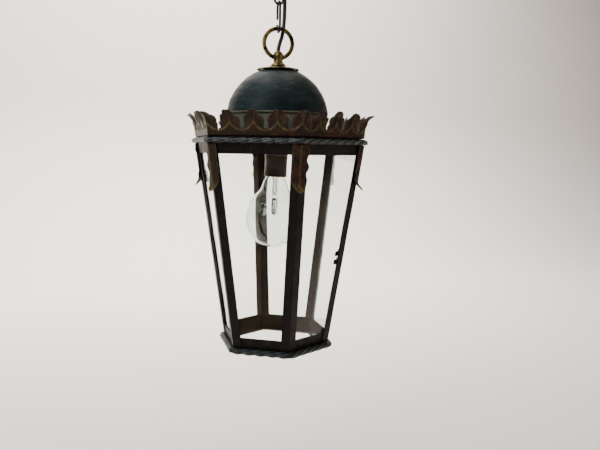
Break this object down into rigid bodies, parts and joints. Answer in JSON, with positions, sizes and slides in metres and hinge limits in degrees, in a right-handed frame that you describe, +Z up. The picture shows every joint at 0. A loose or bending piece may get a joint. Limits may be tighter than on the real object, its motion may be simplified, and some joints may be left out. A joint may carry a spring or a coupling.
{
  "type": "hanging lantern",
  "caption": "Tapered hexagonal glazed lantern with a domed top, a leaf gallery and twisted trims, hung by a ring and link from a ceiling hook, with a globe bulb.",
  "frame": {"origin": "centre of the ceiling bracket's top face, where it meets the ceiling", "axes": "+Z up, along the hanging line; a corner of the lantern points to -Y; the ring's plane is XZ"},
  "size_m": [0.2822, 0.3222, 0.632],
  "materials": {
    "black_iron": "old black paint over iron, worn to brown",
    "wrought_wire": "dark blued steel wire",
    "rope_iron": "twisted rod, dark with grey-green patina on the crests",
    "dome_paint": "dark slate-green paint, mottled and scratched",
    "drum_metal": "dull olive-grey patina",
    "leaf_rust": "pressed sheet, red-brown rust over dark paint",
    "cast_brass": "aged cast brass with dark recesses",
    "tube_brass": "turned brass",
    "holder_metal": "dark bronzed brass",
    "copper_ring": "coppery, dull",
    "bracket_steel": "zinc plated",
    "porcelain": "glazed",
    "window_glass": "clear, dusty",
    "bulb_clear": "clear blown glass",
    "bulb_brass": "bright rolled brass",
    "flex_pvc": "dark brown sheath",
    "bush_rubber": "matt"
  },
  "bodies": {
    "ceiling_fitting": {"ceiling_bracket": "bracket_steel", "ceiling_cup": "black_iron", "ceiling_hook": "wrought_wire", "cup_nut": "tube_brass", "terminal_block": "porcelain", "flex_grommet": "bush_rubber"},
    "chain_link": {"chain_link": "wrought_wire"},
    "hook_link": {"hook_link": "wrought_wire"},
    "lantern": {"hanging_loop": "cast_brass", "crown_disc": "cast_brass", "threaded_tube": "tube_brass", "tube_nuts": "tube_brass", "earth_tag": "tube_brass", "dome": "dome_paint", "dome_rim": "drum_metal", "drum": "drum_metal", "deck_plate": "drum_metal", "rivets": "leaf_rust", "gallery_1": "leaf_rust", "gallery_2": "leaf_rust", "gallery_3": "leaf_rust", "gallery_4": "leaf_rust", "gallery_5": "leaf_rust", "gallery_6": "leaf_rust", "top_rail": "black_iron", "bottom_rail": "black_iron", "top_rope": "rope_iron", "bottom_rope": "rope_iron", "post_1": "black_iron", "post_2": "black_iron", "post_3": "black_iron", "post_4": "black_iron", "post_5": "black_iron", "post_6": "black_iron", "pane_1": "window_glass", "pane_2": "window_glass", "pane_3": "window_glass", "pane_4": "window_glass", "pane_5": "window_glass", "pane_6": "window_glass", "leaf_1": "leaf_rust", "leaf_2": "leaf_rust", "leaf_3": "leaf_rust", "leaf_4": "leaf_rust", "leaf_5": "leaf_rust", "leaf_6": "leaf_rust", "glass_clips": "black_iron", "holder_cap": "holder_metal", "holder_sleeve": "holder_metal", "holder_ring": "copper_ring", "holder_core": "porcelain", "holder_shell": "bulb_brass", "centre_contact": "tube_brass", "flex": "flex_pvc", "flex_tail": "flex_pvc"},
    "bulb": {"bulb_glass": "bulb_clear", "bulb_cap": "bulb_brass", "bulb_stem": "bulb_clear", "bulb_capsule": "bulb_clear"}
  },
  "joints": [
    {"name": "chain_swing", "type": "hinge", "parent": "ceiling_fitting", "child": "chain_link", "pos_m": [0, 0, -0.0482], "axis": [0, 1, 0], "range_deg": [-20, 20], "deforming": ["flex"]},
    {"name": "hook_swing", "type": "hinge", "parent": "chain_link", "child": "hook_link", "pos_m": [0, 0, -0.0691], "axis": [1, 0, 0], "range_deg": [-20, 20], "deforming": ["flex"]},
    {"name": "lantern_swing", "type": "hinge", "parent": "hook_link", "child": "lantern", "pos_m": [0, 0, -0.1132], "axis": [0, 1, 0], "range_deg": [-20, 20], "deforming": ["flex"]},
    {"name": "bulb_turn", "type": "hinge", "parent": "lantern", "child": "bulb", "pos_m": [0, 0, -0.29], "axis": [-0.0339, 0.0084, -0.9994], "range_deg": [0, 900]}
  ]
}
